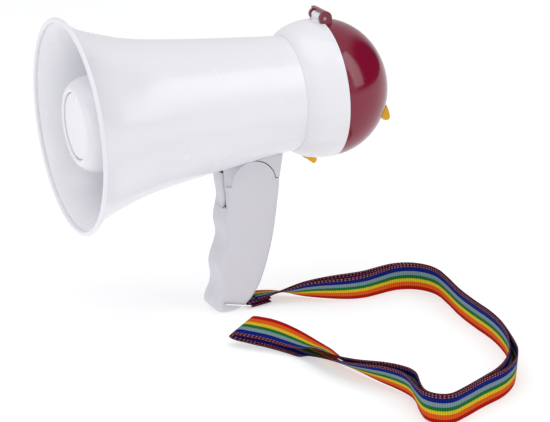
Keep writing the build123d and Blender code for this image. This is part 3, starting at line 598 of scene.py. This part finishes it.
class Grower:
    # builds one geometry node tree with named inputs, and runs it on a small base mesh

    def __init__(self, name):
        self.tree = bpy.data.node_groups.new(name, "GeometryNodeTree")
        self.sockets = {}
        self.socket("Geometry", "NodeSocketGeometry", "INPUT")
        self.socket("Geometry", "NodeSocketGeometry", "OUTPUT")
        self.start = self.tree.nodes.new("NodeGroupInput")
        self.end = self.tree.nodes.new("NodeGroupOutput")

    def socket(self, name, kind, way="INPUT"):
        made = self.tree.interface.new_socket(name=name, in_out=way, socket_type=kind)
        if way == "INPUT":
            self.sockets[name] = made.identifier
        return made

    def node(self, kind, mode=None, **links):
        made = self.tree.nodes.new(kind)
        if mode:
            made.mode = mode
        for name, source in links.items():
            target = made.inputs[name.replace("_", " ")]
            if isinstance(source, bpy.types.NodeSocket):
                self.tree.links.new(source, target)
            else:
                target.default_value = source
        return made

    def finish(self, geometry, material):
        real = self.node("GeometryNodeRealizeInstances", Geometry=geometry)
        paint = self.node("GeometryNodeSetMaterial", Geometry=real.outputs["Geometry"],
                          Material=materials[material])
        self.tree.links.new(paint.outputs["Geometry"], self.end.inputs["Geometry"])

    def grow(self, name, base, values):
        holder = bpy.data.objects.new(name + "Base", base)
        scene.collection.objects.link(holder)
        modifier = holder.modifiers.new(name, "NODES")
        modifier.node_group = self.tree
        for key, value in values.items():
            modifier[self.sockets[key]] = value
        view = holder.evaluated_get(bpy.context.evaluated_depsgraph_get())
        mesh = bpy.data.meshes.new_from_object(view)
        holder.modifiers.clear()
        bpy.data.objects.remove(holder)
        mesh.name = name
        for face in mesh.polygons:
            face.use_smooth = True
        piece = bpy.data.objects.new(name, mesh)
        scene.collection.objects.link(piece)
        return piece


def baseMesh(name, points, chains=()):
    mesh = bpy.data.meshes.new(name)
    mesh.from_pydata([tuple(p) for p in points], [tuple(c) for c in chains], [])
    return mesh


# steps in a turn of a coil, and sides of its wire
coilSteps = 28
wireSides = 8
alongY = (math.pi / 2, 0.0, 0.0)


def makeCoilTree():
    # a wire coil stood on every point of the base
    grower = Grower("coilOnPoints")
    for name, kind in (("Turns", "NodeSocketFloat"), ("Start Radius", "NodeSocketFloat"),
                       ("End Radius", "NodeSocketFloat"), ("Length", "NodeSocketFloat"),
                       ("Wire Radius", "NodeSocketFloat"), ("Turned", "NodeSocketRotation")):
        grower.socket(name, kind)
    start = grower.start.outputs
    spiral = grower.node("GeometryNodeCurveSpiral", Resolution=coilSteps, Rotations=start["Turns"],
                         Start_Radius=start["Start Radius"], End_Radius=start["End Radius"],
                         Height=start["Length"])
    section = grower.node("GeometryNodeCurvePrimitiveCircle", Resolution=wireSides, Radius=start["Wire Radius"])
    wire = grower.node("GeometryNodeCurveToMesh", Curve=spiral.outputs["Curve"],
                       Profile_Curve=section.outputs["Curve"], Fill_Caps=True)
    spread = grower.node("GeometryNodeInstanceOnPoints", Points=start["Geometry"],
                         Instance=wire.outputs["Mesh"], Rotation=start["Turned"])
    return grower, spread.outputs["Instances"]


batterySpring = {"turns": 3.5, "wireRadius": 0.00022, "cells": 4, "pitch": 0.0107, "tipShare": 0.62}
triggerCoil = {"turns": 3.0, "wireRadius": 0.00013, "length": 0.0008}


def makeCoils(name, look, stoodFor, material, seats, radius, endRadius, length):
    grower, coils = makeCoilTree()
    grower.finish(coils, material)
    piece = grower.grow(name, baseMesh(name + "Seats", seats), {
        "Turns": look["turns"], "Start Radius": radius, "End Radius": endRadius, "Length": length,
        "Wire Radius": look["wireRadius"], "Turned": alongY})
    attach(piece, "body")
    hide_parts(stoodFor)


def makeBatterySprings(look):
    low, high = (np.array(corner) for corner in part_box("battery_springs"))
    middle = (low + high) / 2
    seats = [(middle[0], high[1], middle[2] + look["pitch"] * (k - (look["cells"] - 1) / 2))
             for k in range(look["cells"])]
    radius = (high[0] - low[0]) / 2 - look["wireRadius"]
    makeCoils("batteryCoils", look, "battery_springs", "plateSteel", seats, radius,
              radius * look["tipShare"], high[1] - low[1])


def makeTriggerCoils(look):
    low, high = (np.array(corner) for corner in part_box("trigger_spring"))
    middle = (low + high) / 2
    seats = [(middle[0], high[1], middle[2]), (middle[0], low[1] + look["length"], middle[2])]
    radius = (high[0] - low[0]) / 2 - look["wireRadius"]
    makeCoils("triggerCoils", look, "trigger_spring", "pinSteel", seats, radius, radius, look["length"])


def makeStitches(look):
    # short thread bars laid end to end along each row of the tab
    grower = Grower("stitchRows")
    for name in ("Pitch", "Length", "Thread Radius"):
        grower.socket(name, "NodeSocketFloat")
    start = grower.start.outputs
    rows = grower.node("GeometryNodeMeshToCurve", Mesh=start["Geometry"])
    marks = grower.node("GeometryNodeCurveToPoints", "LENGTH", Curve=rows.outputs["Curve"],
                        Length=start["Pitch"])
    thread = grower.node("GeometryNodeMeshCylinder", Vertices=look["threadSides"],
                         Radius=start["Thread Radius"], Depth=start["Length"])
    bars = grower.node("GeometryNodeInstanceOnPoints", Points=marks.outputs["Points"],
                       Instance=thread.outputs["Mesh"], Rotation=marks.outputs["Rotation"])
    grower.finish(bars.outputs["Instances"], "stitchThread")
    points, chains = [], []
    reach = look["width"] / 2 - look["stitchInset"]
    top = look["topHeight"] + (look["plyThickness"] + look["threadRise"]) / 2
    for row in look["stitchRows"]:
        chains.append((len(points), len(points) + 1))
        points += [(row, look["centreY"] - reach, top), (row, look["centreY"] + reach, top)]
    piece = grower.grow("tabStitches", baseMesh("stitchLines", points, chains), {
        "Pitch": look["stitchPitch"], "Length": look["stitchLength"], "Thread Radius": look["threadRadius"]})
    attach(piece, "bail")


makeBatterySprings(batterySpring)
makeTriggerCoils(triggerCoil)
makeStitches(tab)
print("coils and stitches made")

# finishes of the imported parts
finishes = {
    "hornWhite": ["horn", "reflector_bullet", "bullet_cap", "throat_tube", "bullet_spider", "rear_housing"],
    "handleWhite": ["handle_left", "handle_right", "handle_bracket", "trigger"],
    "domeRed": ["rear_cover", "cover_catch"],
    "amberYellow": ["cover_latch", "mode_knob"],
    "blackPlastic": ["speaker_baffle", "mode_switch", "mic_grille", "battery_tray", "talk_switch",
                     "amp_components"],
    "greyPlastic": ["tray_posts"],
    "plateSteel": ["speaker_frame", "magnet_plate", "speaker_yoke", "battery_contacts", "latch_spring",
                   "mic_capsule", "speaker_screws", "tray_screws"],
    "pinSteel": ["hinge_pin", "trigger_pin", "handle_screws", "handle_bolt"],
    "bailSteel": ["wire_bail"],
    "ferrite": ["speaker_magnet"],
    "paperCone": ["speaker_diaphragm"],
    "coilCopper": ["voice_coil"],
    "circuitBoard": ["control_board", "amp_board"],
    "softRubber": ["mic_boot"],
    "cellJacket": ["batteries"],
}
for materialName, members in finishes.items():
    for member in members:
        node = nodes[member]
        node.data.materials.clear()
        node.data.materials.append(materials[materialName])
print("finishes set on", sum(len(m) for m in finishes.values()), "parts")

# studio
studio = {
    "floorColor": (0.58, 0.585, 0.59),
    "floorDip": 0.985,
    "floorHalf": 6,
    "floorDrop": 0.0004,
    "skyColor": (0.985, 0.985, 1.0),
    "skyStrength": 0.70,
    "darkSide": (0.975, -0.130, 0.060),
    "darkEdge": (0.62, 0.80),
    "darkStrength": 0.03,
    "floorGlow": 0.52,
    "lamps": [
        {"name": "overhead", "place": (-0.15, -0.15, 1.5), "aim": (0.0, 0.0, 0.08), "size": (1.5, 1.1),
         "power": 5.5},
        {"name": "sideSoftbox", "place": (0.844, -0.80, 0.79), "aim": (0.07, 0.0, 0.124),
         "size": (0.52, 1.25), "power": 4.6},
        {"name": "bellFill", "place": (-1.4, -0.25, 0.45), "aim": (-0.09, 0.0, 0.12), "size": (0.9, 0.9),
         "power": 2.4},
    ],
}


def makeStudio(look):
    mesh = bpy.data.meshes.new("studioFloor")
    far, low = look["floorHalf"], -look["floorDrop"]
    corners = [(-far, -far, low), (far, -far, low), (far, far, low), (-far, far, low)]
    mesh.from_pydata(corners, [], [(0, 1, 2, 3)])
    shade = Shade("floorPaper")
    tone = tuple(c * look["floorDip"] for c in look["floorColor"])
    shade.color(shade.mix(shade.noise(30), look["floorColor"], tone))
    shade.fixed(Roughness=0.9, Specular_IOR_Level=0.2, Emission_Color=(1, 1, 1, 1),
                Emission_Strength=look["floorGlow"])
    mesh.materials.append(shade.material)
    floor = bpy.data.objects.new("studioFloor", mesh)
    scene.collection.objects.link(floor)
    world = bpy.data.worlds.new("studioSky")
    world.use_nodes = True
    # an even pale sky with one unlit side, so that gloss keeps a dark field
    tree = world.node_tree
    sky = tree.nodes["Background"]
    sky.inputs["Color"].default_value = (*look["skyColor"], 1)
    coords = tree.nodes.new("ShaderNodeTexCoord")
    facing = tree.nodes.new("ShaderNodeVectorMath")
    facing.operation = "DOT_PRODUCT"
    facing.inputs[1].default_value = look["darkSide"]
    fade = tree.nodes.new("ShaderNodeMapRange")
    fade.interpolation_type = "SMOOTHSTEP"
    for name, number in (("From Min", look["darkEdge"][0]), ("From Max", look["darkEdge"][1]),
                         ("To Min", look["skyStrength"]), ("To Max", look["darkStrength"])):
        fade.inputs[name].default_value = number
    tree.links.new(coords.outputs["Generated"], facing.inputs[0])
    tree.links.new(facing.outputs["Value"], fade.inputs["Value"])
    # seen directly, the sky is the same pale all round
    seen = tree.nodes.new("ShaderNodeLightPath")
    plain = tree.nodes.new("ShaderNodeMix")
    plain.data_type = "FLOAT"
    plain.inputs["B"].default_value = look["skyStrength"]
    tree.links.new(seen.outputs["Is Camera Ray"], plain.inputs["Factor"])
    tree.links.new(fade.outputs["Result"], plain.inputs["A"])
    tree.links.new(plain.outputs["Result"], sky.inputs["Strength"])
    scene.world = world
    for lamp in look["lamps"]:
        light = bpy.data.lights.new(lamp["name"], "AREA")
        light.shape = "RECTANGLE"
        light.size, light.size_y = lamp["size"]
        light.energy = lamp["power"]
        holder = bpy.data.objects.new(lamp["name"], light)
        scene.collection.objects.link(holder)
        holder.location = lamp["place"]
        holder.rotation_mode = "QUATERNION"
        holder.rotation_quaternion = (Vector(lamp["aim"]) - Vector(lamp["place"])).to_track_quat("-Z", "Y")


makeStudio(studio)
print("studio ready")
